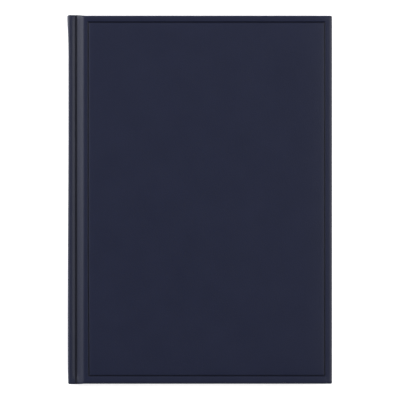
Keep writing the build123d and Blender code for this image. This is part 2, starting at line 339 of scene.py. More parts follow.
def rim_loop(columns, rows, inset):
    """Points of one loop round foot, fore edge and head, and the way out of the sheet at each."""
    limit_x = case_high.x - inset
    low_y, high_y = case_low.y + inset, case_high.y - inset
    soft = corner_round * max(0.0, 1.0 - inset / panel_edge)
    # inside the mitre, the two turned-in edges meet on the corner's diagonal
    across = np.minimum(columns[:-1], limit_x - soft)
    along = np.clip(rows[1:-1], low_y + soft, high_y - soft)

    def corner(centre_y, first_turn):
        turns = [first_turn + step / 4 * math.pi / 2 for step in range(5)]
        ways = [(math.cos(turn), math.sin(turn)) for turn in turns]
        return [(limit_x - soft + soft * x, centre_y + soft * y, x, y) for x, y in ways]

    points = [(x, low_y - foot_more * head_reach(x), 0.0, -1.0) for x in across]
    points += corner(low_y + soft, -math.pi / 2)
    points += [(limit_x, y, 1.0, 0.0) for y in along]
    points += corner(high_y - soft, 0.0)
    points += [(x, high_y + head_more * head_reach(x), 0.0, 1.0) for x in across[::-1]]
    return np.array(points)


def mesh_object(name, points, faces, materials, smooth=True):
    """A new mesh object at the origin."""
    mesh = bpy.data.meshes.new(name)
    mesh.from_pydata([tuple(map(float, point)) for point in points], [], faces)
    for material in materials:
        mesh.materials.append(material)
    mesh.polygons.foreach_set("use_smooth", [smooth] * len(mesh.polygons))
    piece = bpy.data.objects.new(name, mesh)
    bpy.context.collection.objects.link(piece)
    return piece


def point_uv(piece, places):
    """A UV map that gives each point its place on the flat sheet, in metres."""
    corners = np.empty(len(piece.data.loops), int)
    piece.data.loops.foreach_get("vertex_index", corners)
    layer = piece.data.uv_layers.get("UVMap") or piece.data.uv_layers.new(name="UVMap")
    layer.data.foreach_set("uv", np.asarray(places, np.float32)[corners].ravel())


def point_mask(piece, name, values):
    """A float on each point, for a material to read."""
    attribute = piece.data.attributes.new(name, "FLOAT", "POINT")
    attribute.data.foreach_set("value", np.asarray(values, np.float32))


def evaluated(piece):
    """The piece with its modifiers made into a plain mesh."""
    depsgraph = bpy.context.evaluated_depsgraph_get()
    mesh = bpy.data.meshes.new_from_object(piece.evaluated_get(depsgraph))
    piece.modifiers.clear()
    piece.data = mesh
    return piece


def group_of(name, inputs, outputs, kind="ShaderNodeTree"):
    """An empty node group with these named sockets, and its two ends."""
    tree = bpy.data.node_groups.new(name, kind)
    for label, socket_kind, value in inputs:
        socket = tree.interface.new_socket(label, in_out="INPUT", socket_type=socket_kind)
        if value is not None:
            socket.default_value = value
    for label, socket_kind in outputs:
        tree.interface.new_socket(label, in_out="OUTPUT", socket_type=socket_kind)
    return tree, tree.nodes.new("NodeGroupInput"), tree.nodes.new("NodeGroupOutput")


def mix_colours(tree, amount, first, second):
    """One colour turned into another by a mask."""
    first, second = [(*value, 1.0) if isinstance(value, tuple) else value for value in (first, second)]
    return add_node(tree, "ShaderNodeMix", {0: amount, 6: first, 7: second}, data_type="RGBA").outputs[2]


def noise_node(tree, vector, scale, detail=2.0, roughness=0.5):
    """Smooth noise on a vector."""
    inputs = {"Vector": vector, "Scale": scale, "Detail": detail, "Roughness": roughness}
    return add_node(tree, "ShaderNodeTexNoise", inputs).outputs["Fac"]


def use_group(tree, group, vector, **values):
    """One use of a node group, fed with a vector."""
    named = {name.replace("_", " ").title(): value for name, value in values.items()}
    return add_node(tree, "ShaderNodeGroup", {"Vector": vector, **named}, node_tree=group).outputs


def surface_vector(tree):
    """Place on the unrolled sheet, in metres, from the piece's own UV map."""
    return add_node(tree, "ShaderNodeUVMap", uv_map="UVMap").outputs["UV"]


def mask_attribute(tree, name):
    """A mask that is stored on a piece's points."""
    return add_node(tree, "ShaderNodeAttribute", attribute_name=name).outputs["Fac"]


def bump_into(tree, shader, height, strength, distance):
    """Feed a height to a shader's normal."""
    bump = add_node(tree, "ShaderNodeBump", {"Strength": strength, "Distance": distance, "Height": height})
    tree.links.new(bump.outputs["Normal"], shader.inputs["Normal"])


def pebble_grain():
    """Small rounded pebbles with creases between them, as embossed leatherette has."""
    tree, start, end = group_of(
        "pebble_grain",
        [("Vector", "NodeSocketVector", None), ("Pebbles per Metre", "NodeSocketFloat", 1300.0)],
        [("Height", "NodeSocketFloat"), ("Crease", "NodeSocketFloat"), ("Mottle", "NodeSocketFloat")],
    )
    vector = start.outputs["Vector"]
    wobble = add_node(tree, "ShaderNodeTexNoise", {"Vector": vector, "Scale": 900.0, "Detail": 1.0})
    bend = {0: wobble.outputs["Color"], 1: (0.7 * mm, 0.7 * mm, 0.0), 2: vector}
    bent = add_node(tree, "ShaderNodeVectorMath", bend, operation="MULTIPLY_ADD")
    pebble = {"Vector": bent.outputs[0], "Scale": start.outputs["Pebbles per Metre"]}
    away = add_node(tree, "ShaderNodeTexVoronoi", pebble, feature="SMOOTH_F1").outputs["Distance"]
    rounded = maths(tree, "SUBTRACT", 1.0, away)
    height = maths(tree, "MULTIPLY_ADD", noise_node(tree, vector, 5200.0), 0.35, rounded)
    tree.links.new(height, end.inputs["Height"])
    crease = maths(tree, "SMOOTH_MIN", maths(tree, "MULTIPLY", away, 1.3), 1.0, 0.2)
    tree.links.new(crease, end.inputs["Crease"])
    tree.links.new(noise_node(tree, vector, 34.0, 4.0, 0.6), end.inputs["Mottle"])
    return tree


def leatherette_material():
    """Navy leatherette on the unrolled sheet of the case."""
    navy, navy_crease_shade = (0.0098, 0.0142, 0.0455), (0.0070, 0.0100, 0.0300)
    navy_rubbed, navy_struck_shade = (0.0210, 0.0270, 0.0640), (0.0026, 0.0039, 0.0150)
    material, shader = plain_material("navy_leatherette", navy, 0.5)
    tree = material.node_tree
    grain = use_group(tree, pebble_grain(), surface_vector(tree))
    # Painted shade: the creases between the pebbles are darker
    body = mix_colours(tree, maths(tree, "MULTIPLY", grain["Crease"], 0.55), navy, navy_crease_shade)
    shade = maths(tree, "MULTIPLY_ADD", grain["Mottle"], 0.24, 0.88)
    shaded = add_node(tree, "ShaderNodeVectorMath", {0: body, "Scale": shade}, operation="SCALE").outputs[0]
    rubbed = maths(tree, "MULTIPLY", mask_attribute(tree, "rubbed"), grain["Height"])
    worn = mix_colours(tree, maths(tree, "MULTIPLY", rubbed, 0.35), shaded, navy_rubbed)
    # Painted shade: darker in the border line and the bottom of the joint groove, where shade falls in these
    # recesses; in the line it also stands for the darkening that striking gives
    struck_and_groove_shade = maths(tree, "MULTIPLY", mask_attribute(tree, "struck_and_groove_shade"), 0.95)
    tree.links.new(mix_colours(tree, struck_and_groove_shade, worn, navy_struck_shade), shader.inputs["Base Color"])
    gloss = maths(tree, "MULTIPLY_ADD", grain["Crease"], 0.12, 0.375)
    gloss = maths(tree, "MULTIPLY_ADD", grain["Mottle"], 0.08, gloss)
    tree.links.new(gloss, shader.inputs["Roughness"])
    shader.inputs["Specular IOR Level"].default_value = 0.42
    bump_into(tree, shader, grain["Height"], 0.35, 0.12 * mm)
    return material


leatherette = leatherette_material()


def case_cover(name, front):
    """The leatherette of one cover and its joint, as one closed sheet."""
    columns, rows = cover_columns(), cover_rows()
    points, flat, struck_and_groove_shade, rubbed, loops = [], [], [], [], []
    # the rim, from its top inwards round the edge: each point's place on the flat sheet is how far out it has gone
    for inset, level, rise in reversed(rim_steps()):
        loop = rim_loop(columns, rows, inset)
        x, y = loop[:, 0], loop[:, 1]
        height = rim_height(x, y, level, rise)
        if loops:
            before = np.array(points[-len(loop):])
            gone_out = gone_out + np.hypot(np.hypot(x - before[:, 0], y - before[:, 1]), height - before[:, 2])
        else:
            gone_out = np.zeros(len(loop))
            rim = loop
        loops.append(len(points))
        points += list(zip(x, y, height))
        flat += list(zip(rim[:, 0] + loop[:, 2] * gone_out, rim[:, 1] + loop[:, 3] * gone_out))
        # painted shade in the bottom of the joint groove
        struck_and_groove_shade += list(groove_mask(x) * (level == 2))
        worn = 1.0 if level == 0 and 0.0 < rise else 0.6 * (level == 1) + 0.3 * (level == 2) * (1.0 - rise)
        rubbed += [worn] * len(loop)
    faces = []
    for outer, inner in zip(loops[1:], loops[:-1]):
        for step in range(len(loop) - 1):
            faces.append((outer + step, outer + step + 1, inner + step + 1, inner + step))
    # the panel inside the rim
    panel, wide = len(points), len(columns)
    for row in rows:
        share = (row - rows[0]) / (rows[-1] - rows[0])
        for x in columns:
            y = row + head_reach(x) * (head_more * share - foot_more * (1.0 - share))
            points.append((x, y, joint_profile(x) - panel_drop(x, y)))
            flat.append((x, y))
            # painted shade in the border line and the joint groove's bottom, with the struck line's own darkening
            struck_and_groove_shade.append(float(min(1.0, 2.5 * struck_mask(x, y) + groove_mask(x))))
            rubbed.append(0.0)
    for row in range(len(rows) - 1):
        for column in range(wide - 1):
            first = panel + row * wide + column
            faces.append((first, first + 1, first + wide + 1, first + wide))
    points = np.array(points)
    points[:, 0] += tool_skew(points[:, 0], points[:, 1])
    points[:, 2] += inner_z
    if not front:
        points[:, 2] = book_thick - points[:, 2]
        faces = [face[::-1] for face in faces]
    piece = mesh_object(name, points, faces, [leatherette])
    point_uv(piece, flat)
    point_mask(piece, "struck_and_groove_shade", struck_and_groove_shade)
    point_mask(piece, "rubbed", rubbed)
    sheet = bmesh.new()
    sheet.from_mesh(piece.data)
    bmesh.ops.remove_doubles(sheet, verts=sheet.verts, dist=0.004 * mm)
    bmesh.ops.dissolve_degenerate(sheet, edges=sheet.edges, dist=0.001 * mm)
    sheet.to_mesh(piece.data)
    sheet.free()
    wall = piece.modifiers.new("wall", "SOLIDIFY")
    wall.thickness = leather_thick
    wall.offset = -1.0                      # inwards from the face that shows
    return evaluated(piece)


for side in ("front", "back"):
    cover = case_cover(f"{side}_cover_leatherette", side == "front")
    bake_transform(cover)
    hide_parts(f"{side}_cover_skin", f"{side}_joint_skin")

# ---------------------------------------------------------------- Spine
# The leatherette goes on round the spine board: a full-round ridge beside each joint, a flat back between them,
# and a small cap at head and foot where it is turned in over the end of the board.

spine_low, spine_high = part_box("spine_skin")
spine_low.y -= 0.35 * mm
ridge_round = (spine_high.x - spine_low.x) / 2
cap_round = 0.8 * mm
arc_steps, flat_steps, cap_steps = 14, 18, 6


def spine_ring(radius, y):
    """Points of the spine's section, drawn this far out from the spine board's two edges, at one height."""
    centre_x = spine_low.x + ridge_round
    upper, lower = spine_high.z - ridge_round, spine_low.z + ridge_round
    ring = []
    for side, (near, far) in enumerate(((upper, lower), (lower, upper))):
        for step in range(arc_steps):
            turn = (side + step / arc_steps) * math.pi
            ring.append((centre_x + radius * math.cos(turn), near + radius * math.sin(turn)))
        out = radius * (2 * side - 1)
        ring += [(centre_x + out, z) for z in stretch(near, far, flat_steps)]
    # the flat back isn't quite true: it bows a little along its length, and the head cap swells
    bow = -0.33 * mm + 0.30 * mm * math.sin((y + 10.0 * mm) / (62.0 * mm))
    cap = -0.75 * mm * math.exp(-((y - spine_high.y) / (16.0 * mm)) ** 2)
    cap += 0.25 * mm * math.exp(-((y - spine_low.y) / (8.0 * mm)) ** 2)
    push = 1.25 * (bow + cap) - 0.15 * mm
    moved = []
    for x, z in ring:
        share = max(0.0, (centre_x + ridge_round - x) / (2 * ridge_round)) ** 1.5
        share *= 1.0 - 0.7 * smooth((abs(z - book_thick / 2) - 3.0 * mm) / (5.0 * mm))
        moved.append((x + push * share, y, z))
    return moved


def spine_leatherette():
    """The closed outer form of the covered spine."""
    cap = [
        (ridge_round - cap_round * (1.0 - math.sin(turn)), cap_round * (1.0 - math.cos(turn)))
        for turn in (step / cap_steps * math.pi / 2 for step in range(cap_steps + 1))
    ]
    stations = [(0.02 * mm, spine_low.y)] + [(radius, spine_low.y + along) for radius, along in cap]
    stations += [(ridge_round, y) for y in stretch(spine_low.y + 3 * mm, spine_high.y - 3 * mm, 60)]
    stations += [(radius, spine_high.y - along) for radius, along in reversed(cap)] + [(0.02 * mm, spine_high.y)]
    points, flat, rubbed = [], [], []
    for radius, y in stations:
        ring = spine_ring(radius, y)
        points += ring
        flat += [(z + x, y) for x, y, z in ring]
        rubbed += [0.35 if radius < ridge_round else 0.12] * len(ring)
    around, faces = len(ring), []
    for first in range(0, len(points) - around, around):
        for step in range(around):
            after = (step + 1) % around
            faces.append((first + step, first + around + step, first + around + after, first + after))
    faces.append(tuple(range(around)))
    faces.append(tuple(len(points) - 1 - step for step in range(around)))
    piece = mesh_object("spine_leatherette", points, faces, [leatherette])
    point_uv(piece, flat)
    point_mask(piece, "struck_and_groove_shade", [0.0] * len(points))
    point_mask(piece, "rubbed", rubbed)
    closed = bmesh.new()
    closed.from_mesh(piece.data)
    bmesh.ops.recalc_face_normals(closed, faces=closed.faces)
    closed.to_mesh(piece.data)
    closed.free()
    return piece


spine = spine_leatherette()
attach(spine, "text_block")
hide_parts("spine_skin")

# ---------------------------------------------------------------- Foam pads
# A sheet of soft foam lies on the outer face of each board and gives the cover its padded feel. The border line
# and the board's edges nip it down to almost nothing, and it swells between them.

foam_edge = 1.7 * mm
foam_gap = 0.55 * mm                        # leatherette and glue over the foam
foam_least = 0.02 * mm
foam_ends = [2.4, 1.7, 1.1, 0.6, 0.25, 0.08, 0.0] # millimetres in from the pad's edge, close together there


def grid_slab(name, columns, rows, under, over, material):
    """A closed thin solid between two height fields on one grid."""
    x, y = np.meshgrid(columns, rows)
    x, y = x.ravel(), y.ravel()
    count, wide = len(x), len(columns)
    points = list(zip(x, y, under(x, y))) + list(zip(x, y, over(x, y)))
    faces = []
    for corner in range(count - wide):
        if corner % wide < wide - 1:
            ring = (corner, corner + 1, corner + wide + 1, corner + wide)
            faces.append(ring[::-1])
            faces.append(tuple(count + place for place in ring))
    foot, head = list(range(wide)), list(range(count - wide, count))
    left, right = list(range(0, count, wide)), list(range(wide - 1, count, wide))
    for edge in (foot, right, head[::-1], left[::-1]):
        for first, second in zip(edge[:-1], edge[1:]):
            faces.append((first, second, count + second, count + first))
    piece = mesh_object(name, points, faces, [material])
    point_uv(piece, list(zip(x, y)) * 2)
    return piece


def object_vector(tree):
    """Place on the piece itself, in metres."""
    return tree.nodes.new("ShaderNodeTexCoord").outputs["Object"]


def foam_material():
    """Pale open-cell foam."""
    pale, cell = (0.62, 0.60, 0.54), (0.40, 0.38, 0.33)
    material, shader = plain_material("foam_sheet", pale, 0.95)
    tree = material.node_tree
    inputs = {"Vector": object_vector(tree), "Scale": 2600.0}
    away = add_node(tree, "ShaderNodeTexVoronoi", inputs).outputs["Distance"]
    # Painted shade: the pores are darker towards their middles
    tree.links.new(mix_colours(tree, away, cell, pale), shader.inputs["Base Color"])
    bump_into(tree, shader, away, 0.6, 0.2 * mm)
    return material


foam = foam_material()


def turn_over(piece):
    """The front cover's piece made into the back cover's, faces still outwards."""
    mesh = bmesh.new()
    mesh.from_mesh(piece.data)
    for vertex in mesh.verts:
        vertex.co.z = book_thick - vertex.co.z
    bmesh.ops.reverse_faces(mesh, faces=mesh.faces)
    mesh.to_mesh(piece.data)
    mesh.free()


def foam_pad(side):
    """One pad, nipped along the border line and round its edges."""
    low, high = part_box("front_foam")
    base = low.z - inner_z
    columns = [x for x in cover_columns() if low.x + 0.2 * mm < x < high.x - 2.6 * mm]
    rows = [y for y in cover_rows() if low.y + 2.6 * mm < y < high.y - 2.6 * mm]
    columns = np.array([low.x] + columns + [high.x - end * mm for end in foam_ends])
    rows = [low.y + end * mm for end in reversed(foam_ends)] + rows + [high.y - end * mm for end in foam_ends]

    def over(x, y):
        away_x, away_y = high.x - x, np.minimum(y - low.y, high.y - y)
        inside = foam_edge - np.hypot(np.maximum(foam_edge - away_x, 0.0), np.maximum(foam_edge - away_y, 0.0))
        rounding = np.sqrt(np.maximum(foam_edge ** 2 - (foam_edge - np.maximum(inside, 0.0)) ** 2, 0.0))
        rounding = np.where(inside < foam_edge * 0.999, rounding - 0.3 * mm, 1.0)
        swell = joint_profile(x) - panel_drop(x, y) - foam_gap - base
        swell = swell - 0.5 * mm * np.exp(-((away_y / (1.6 * mm)) ** 2)) * (x < low.x + 11.0 * mm)
        return low.z + np.maximum(np.minimum(swell, rounding), foam_least)

    pad = grid_slab(f"{side}_foam_pad", columns, np.array(rows), lambda x, y: np.full(len(x), low.z), over, foam)
    for vertex in pad.data.vertices:
        vertex.co.x += float(tool_skew(vertex.co.x, vertex.co.y))
    return pad


for side in ("front", "back"):
    pad = foam_pad(side)
    if side == "back":
        turn_over(pad)
    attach(pad, f"{side}_cover")
    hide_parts(f"{side}_foam")

# ---------------------------------------------------------------- Boards
# Three pieces of dense greyboard stiffen the case: one in each cover and a narrow one up the spine.
# Their shapes are true already, so they only get their pressed, fibrous grey stock.


def flecked_stock():
    """Fine fibres, broad clouding and scattered flecks, as pressed paper and board have."""
    tree, start, end = group_of(
        "flecked_stock",
        [("Vector", "NodeSocketVector", None), ("Fleck Share", "NodeSocketFloat", 0.3)],
        [("Fibre", "NodeSocketFloat"), ("Fleck", "NodeSocketFloat"), ("Cloud", "NodeSocketFloat")],
    )
    vector = start.outputs["Vector"]
    tree.links.new(noise_node(tree, vector, 1900.0, 3.0, 0.6), end.inputs["Fibre"])
    tree.links.new(noise_node(tree, vector, 60.0, 3.0, 0.55), end.inputs["Cloud"])
    edge = maths(tree, "SUBTRACT", 0.86, maths(tree, "MULTIPLY", start.outputs["Fleck Share"], 0.35))
    fleck = maths(tree, "SUBTRACT", noise_node(tree, vector, 2600.0, 1.0), edge)
    fleck = maths(tree, "MAXIMUM", maths(tree, "MULTIPLY", fleck, 12.0), 0.0)
    tree.links.new(maths(tree, "MINIMUM", fleck, 1.0), end.inputs["Fleck"])
    return tree


stock_group = flecked_stock()


def stock_material(name, sheet, shade, fleck, roughness, relief, share, vector=object_vector):
    """A paper or board in its own tone, with its fibres, clouding and flecks."""
    material, shader = plain_material(name, sheet, roughness)
    tree = material.node_tree
    stock = use_group(tree, stock_group, vector(tree), fleck_share=share)
    body = mix_colours(tree, stock["Cloud"], shade, sheet)
    body = mix_colours(tree, maths(tree, "MULTIPLY", stock["Fibre"], 0.4), body, shade)
    colour = mix_colours(tree, maths(tree, "MULTIPLY", stock["Fleck"], 0.6), body, fleck)
    tree.links.new(colour, shader.inputs["Base Color"])
    gloss = maths(tree, "MULTIPLY_ADD", stock["Fibre"], 0.1, roughness - 0.05)
    tree.links.new(gloss, shader.inputs["Roughness"])
    shader.inputs["Specular IOR Level"].default_value = 0.15
    bump_into(tree, shader, stock["Fibre"], 0.4, relief)
    return material


def finish_kept(node, material):
    """Give a piece that is true to shape already its own material."""
    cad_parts[node].data.materials.clear()
    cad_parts[node].data.materials.append(material)


grey, grey_shade, grey_fleck = (0.30, 0.29, 0.27), (0.22, 0.21, 0.19), (0.08, 0.07, 0.06)
greyboard = stock_material("greyboard", grey, grey_shade, grey_fleck, 0.9, 0.2 * mm, 0.9)
for node in ("front_board", "back_board", "spine_board"):
    finish_kept(node, greyboard)

# ---------------------------------------------------------------- Mull
# Open-weave gauze is glued over the sewn back and out onto both boards, and holds the block in its case.
# Each half is one strip that bends in the joint with the cover.

mull_back_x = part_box("mull_lining")[0].x + 0.14 * mm
mull_low, mull_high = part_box("front_mull_flange")
mull_thick = 0.2 * mm
mull_shoulder = 0.6 * mm


def ribbon(name, path, thickness, rows, materials):
    """A sheet drawn out up the page from its middle line, a path in (x, z). UV: along the path, up the page."""
    path = np.array(path)
    way = np.gradient(path, axis=0)
    way /= np.hypot(way[:, 0], way[:, 1])[:, None]
    out = np.column_stack([-way[:, 1], way[:, 0]]) * thickness / 2
    run = np.concatenate([[0.0], np.cumsum(np.hypot(*np.diff(path, axis=0).T))])
    points, flat = [], []
    for y in rows:
        for side in (path + out, path - out):
            points += [(x, y, z) for x, z in side]
            flat += [(along, y) for along in run]
    long, faces, slots = len(path), [], []
    for row in range(len(rows) - 1):
        near, far = row * 2 * long, (row + 1) * 2 * long
        for step in range(long - 1):
            faces.append((near + step, near + step + 1, far + step + 1, far + step))
            faces.append((near + long + step, far + long + step, far + long + step + 1, near + long + step + 1))
            slots += [0, 1]
        for step in (0, long - 1):
            edge = (near + step, far + step, far + long + step, near + long + step)
            faces.append(edge if step == 0 else edge[::-1])
            slots.append(2)
    for row in (0, len(rows) - 1):
        near = row * 2 * long
        for step in range(long - 1):
            cap = (near + step, near + long + step, near + long + step + 1, near + step + 1)
            faces.append(cap if row == 0 else cap[::-1])
            slots.append(2)
    piece = mesh_object(name, points, faces, materials, smooth=False)
    piece.data.polygons.foreach_set("material_index", [min(slot, len(materials) - 1) for slot in slots])
    point_uv(piece, flat)
    return piece


def arc(centre, radius, start_turn, end_turn, steps):
    """Points of an arc in (x, z), turns in degrees."""
    turns = np.radians(np.linspace(start_turn, end_turn, steps))
    return [(centre[0] + radius * math.cos(turn), centre[1] + radius * math.sin(turn)) for turn in turns]


def mull_material():
    """Cream gauze: a grid of threads with dark gaps."""
    cream, gap = (0.62, 0.57, 0.45), (0.16, 0.14, 0.11)
    half_pitch = 0.45 * mm
    material, shader = plain_material("mull_gauze", cream, 0.9)
    tree = material.node_tree
    place = add_node(tree, "ShaderNodeSeparateXYZ", {0: surface_vector(tree)})
    threads = [
        maths(tree, "DIVIDE", maths(tree, "PINGPONG", place.outputs[axis], half_pitch), half_pitch)
        for axis in (0, 1)
    ]
    open_share = maths(tree, "MINIMUM", *threads)
    mask = maths(tree, "GREATER_THAN", open_share, 0.42)
    tree.links.new(mix_colours(tree, mask, cream, gap), shader.inputs["Base Color"])
    bump_into(tree, shader, maths(tree, "SUBTRACT", 1.0, open_share), 0.7, 0.15 * mm)
    return material


gauze = mull_material()
mull_z = (mull_low.z + mull_high.z) / 2
mull_path = [(mull_back_x, book_thick / 2 + step * mm) for step in (0.03, 2.0, 4.0, 5.5)]
mull_path += arc((mull_back_x + mull_shoulder, mull_z - 0.75 * mm), mull_shoulder, 180, 90, 7)
mull_path += [(mull_low.x - away * mm, mull_z - 0.15 * mm) for away in (5.4, 4.8, 4.2, 3.6, 3.0, 2.4, 1.8, 1.2, 0.8)]
mull_path += [(mull_low.x + away * mm, mull_z) for away in (0.2, 4.0, 12.0, 20.0, 29.8)]
mull_rows = np.linspace(mull_low.y, mull_high.y, 9)
for side in ("front", "back"):
    mull = ribbon(f"{side}_mull", mull_path, mull_thick, mull_rows, [gauze])
    if side == "back":
        turn_over(mull)
        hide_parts("back_mull_flange")
    else:
        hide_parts("front_mull_flange", "mull_lining")
    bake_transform(mull)

# ---------------------------------------------------------------- Spine lining and sewing
# Brown kraft paper stiffens the glued back inside the hollow spine, and a waxed linen thread runs in and out
# along the fold of every signature. Both are true to shape already.

brown, brown_shade, brown_fleck = (0.33, 0.20, 0.10), (0.25, 0.145, 0.07), (0.12, 0.07, 0.03)
kraft = stock_material("kraft_paper", brown, brown_shade, brown_fleck, 0.8, 0.1 * mm, 0.5)
finish_kept("kraft_spine_lining", kraft)


def thread_material():
    """Waxed linen thread, twisted."""
    linen, hollow = (0.70, 0.64, 0.50), (0.38, 0.33, 0.24)
    material, shader = plain_material("sewing_thread", linen, 0.6)
    tree = material.node_tree
    inputs = {"Scale": 900.0, "Distortion": 0.4, "Vector": object_vector(tree)}
    twist = add_node(tree, "ShaderNodeTexWave", inputs, bands_direction="DIAGONAL").outputs["Fac"]
    # Painted shade: darker in the hollows of the twist
    tree.links.new(mix_colours(tree, twist, hollow, linen), shader.inputs["Base Color"])
    bump_into(tree, shader, twist, 0.5, 0.1 * mm)
    return material


finish_kept("sewing_thread", thread_material())

# ---------------------------------------------------------------- Endpapers
# At each end of the block a heavy sheet is folded once: one half is pasted down inside the cover, over the mull and
# the turned-in leatherette, and the other is the loose flyleaf. The fold is tipped on beside the first signature.

cream, cream_shade, cream_fleck = (0.80, 0.785, 0.74), (0.755, 0.735, 0.68), (0.55, 0.52, 0.45)
endpaper = stock_material("endpaper_stock", cream, cream_shade, cream_fleck, 0.75, 0.06 * mm, 0.25, surface_vector)
paste_low, paste_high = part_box("front_pastedown")
fly_low, fly_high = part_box("front_flyleaf")
fly_mid = (fly_low.z + fly_high.z) / 2
paper_thick = fly_high.z - fly_low.z
skin_gap = 0.01 * mm                        # between a sheet and what it lies on
paste_mid = paste_low.z + paper_thick / 2
fold_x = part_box("front_endpaper_fold")[0].x + 0.12 * mm
fold_radius = (paste_mid - fly_mid) / 2
turned_edge = turn_in + 0.3 * mm
gutter_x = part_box("title_leaf")[0].x - 0.02 * mm
leaf_rows = np.linspace(fly_low.y, fly_high.y, 13)


def paste_under(x, y):
    """Height of the pasted sheet's free face: down on the rim and mull, sunk where it lies on bare board."""
    ease = 1.8 * mm
    off_turn_in = np.minimum(case_high.x - turned_edge - x, case_high.y - turned_edge - np.abs(y))
    sunk = smooth(off_turn_in / ease) * smooth((x - mull_low.x - 0.5 * mm) / ease)
    off_mull = smooth(np.maximum(x - mull_high.x, np.abs(y) - mull_high.y) / ease)
    depth = np.minimum(sunk * 0.20 * mm + sunk * off_mull * 0.29 * mm, 0.49 * mm)
    return paste_low.z + skin_gap / 2 + depth


def paste_places():
    """The grid of the pasted sheet, close together in the joint and at each step."""
    columns, reached = [], fold_x
    for place, count in (
        (mull_low.x, 26),
        (mull_low.x + 4 * mm, 8),
        (mull_high.x - 1 * mm, 6),
        (mull_high.x + 4 * mm, 9),
        (88 * mm, 24),
        (95 * mm, 12),
    ):
        columns += stretch(reached, place, count)
        reached = place
    columns += [97 * mm, 101 * mm, paste_high.x]
    half = stretch(4 * mm, 128 * mm, 20) + stretch(128 * mm, 138 * mm, 16) + [140 * mm, 144 * mm, paste_high.y]
    return np.array(columns), np.array([-y for y in reversed(half)] + [0.0] + half)


def gutter_places(edge_x):
    """X places of a loose leaf, close together where it arches at the gutter."""
    start = fly_low.x + 0.05 * mm
    return stretch(start, start + 12 * mm, 40) + stretch(start + 12 * mm, edge_x, 14) + [edge_x]


fly_path = arc((fold_x + fold_radius, (paste_mid + fly_mid) / 2), fold_radius, 90, 270, 9)
fly_path += [(x, fly_mid) for x in stretch(fold_x + 0.4 * mm, fly_low.x, 7) + gutter_places(fly_high.x)]
for side in ("front", "back"):
    columns, rows = paste_places()
    columns[0] += 0.16 * mm
    pasted = grid_slab(
        f"{side}_pastedown_sheet",
        columns,
        rows,
        paste_under,
        lambda x, y: paste_under(x, y) + paper_thick - skin_gap,
        endpaper,
    )
    loose = ribbon(f"{side}_flyleaf_sheet", fly_path, paper_thick - skin_gap, leaf_rows, [endpaper])
    if side == "back":
        turn_over(pasted)
        turn_over(loose)
    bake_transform(pasted)
    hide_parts(f"{side}_pastedown")
    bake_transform(loose)
    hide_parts(f"{side}_flyleaf", f"{side}_endpaper_fold")

# ---------------------------------------------------------------- First leaves
# Four leaves of the first signature turn by themselves: a title page, the holder's details and two leaves of the
# log. They are smooth writing paper with fine ruled boxes and columns printed in blue-grey.


def ruling(name, left, right, foot, head, verticals=()):
    """Printed rules on a page, in metres from its gutter and foot: a box, upright rules in it, and even rows."""
    tree, start, end = group_of(
        name,
        [
            ("Vector", "NodeSocketVector", None),
            ("Row Pitch", "NodeSocketFloat", 9 * mm),
            ("Rows Head", "NodeSocketFloat", 250 * mm),
            ("Rule Width", "NodeSocketFloat", 0.25 * mm),
        ],
        [("Rule", "NodeSocketFloat"), ("Band", "NodeSocketFloat")],
    )
    rows_head, rule_width = start.outputs["Rows Head"], start.outputs["Rule Width"]

    def away(value, place):
        return maths(tree, "ABSOLUTE", maths(tree, "SUBTRACT", value, place))

    place = add_node(tree, "ShaderNodeSeparateXYZ", {0: start.outputs["Vector"]})
    across, up = place.outputs[0], place.outputs[1]
    half_x, half_y = (right - left) / 2, (head - foot) / 2
    out_x = maths(tree, "SUBTRACT", away(across, left + half_x), half_x)
    out_y = maths(tree, "SUBTRACT", away(up, foot + half_y), half_y)
    outside = maths(tree, "MAXIMUM", out_x, out_y)
    half_row = maths(tree, "MULTIPLY", start.outputs["Row Pitch"], 0.5)
    lines = maths(tree, "PINGPONG", maths(tree, "SUBTRACT", up, foot), half_row)
    above = maths(tree, "GREATER_THAN", up, rows_head)
    lines = maths(tree, "MINIMUM", maths(tree, "ADD", above, lines), away(up, rows_head))
    for upright in verticals:
        lines = maths(tree, "MINIMUM", lines, away(across, upright))
    inside = maths(tree, "LESS_THAN", outside, 0.0)
    ruled = maths(tree, "LESS_THAN", lines, maths(tree, "MULTIPLY", rule_width, 0.5))
    box_rule = maths(tree, "LESS_THAN", maths(tree, "ABSOLUTE", outside), rule_width)
    rule = maths(tree, "MAXIMUM", maths(tree, "MULTIPLY", ruled, inside), box_rule)
    tree.links.new(rule, end.inputs["Rule"])
    tree.links.new(maths(tree, "MULTIPLY", above, inside), end.inputs["Band"])
    return tree


def printed_paper(name, group=None, row_pitch=0.0, rows_head=0.0):
    """The block's writing paper, blank or with one page's rules."""
    white, shade, fleck = (0.84, 0.83, 0.79), (0.79, 0.775, 0.725), (0.62, 0.60, 0.54)
    band_tint, ink = (0.58, 0.66, 0.74), (0.11, 0.17, 0.30)
    material = stock_material(name, white, shade, fleck, 0.7, 0.04 * mm, 0.15, surface_vector)
    if group is None:
        return material
    tree = material.node_tree
    base = tree.nodes["Principled BSDF"].inputs["Base Color"]
    page = use_group(tree, group, surface_vector(tree), row_pitch=row_pitch, rows_head=rows_head)
    stock = base.links[0].from_socket
    banded = mix_colours(tree, maths(tree, "MULTIPLY", page["Band"], 0.55), stock, band_tint)
    inked = mix_colours(tree, maths(tree, "MULTIPLY", page["Rule"], 0.85), banded, ink)
    tree.links.new(inked, base)
    return material


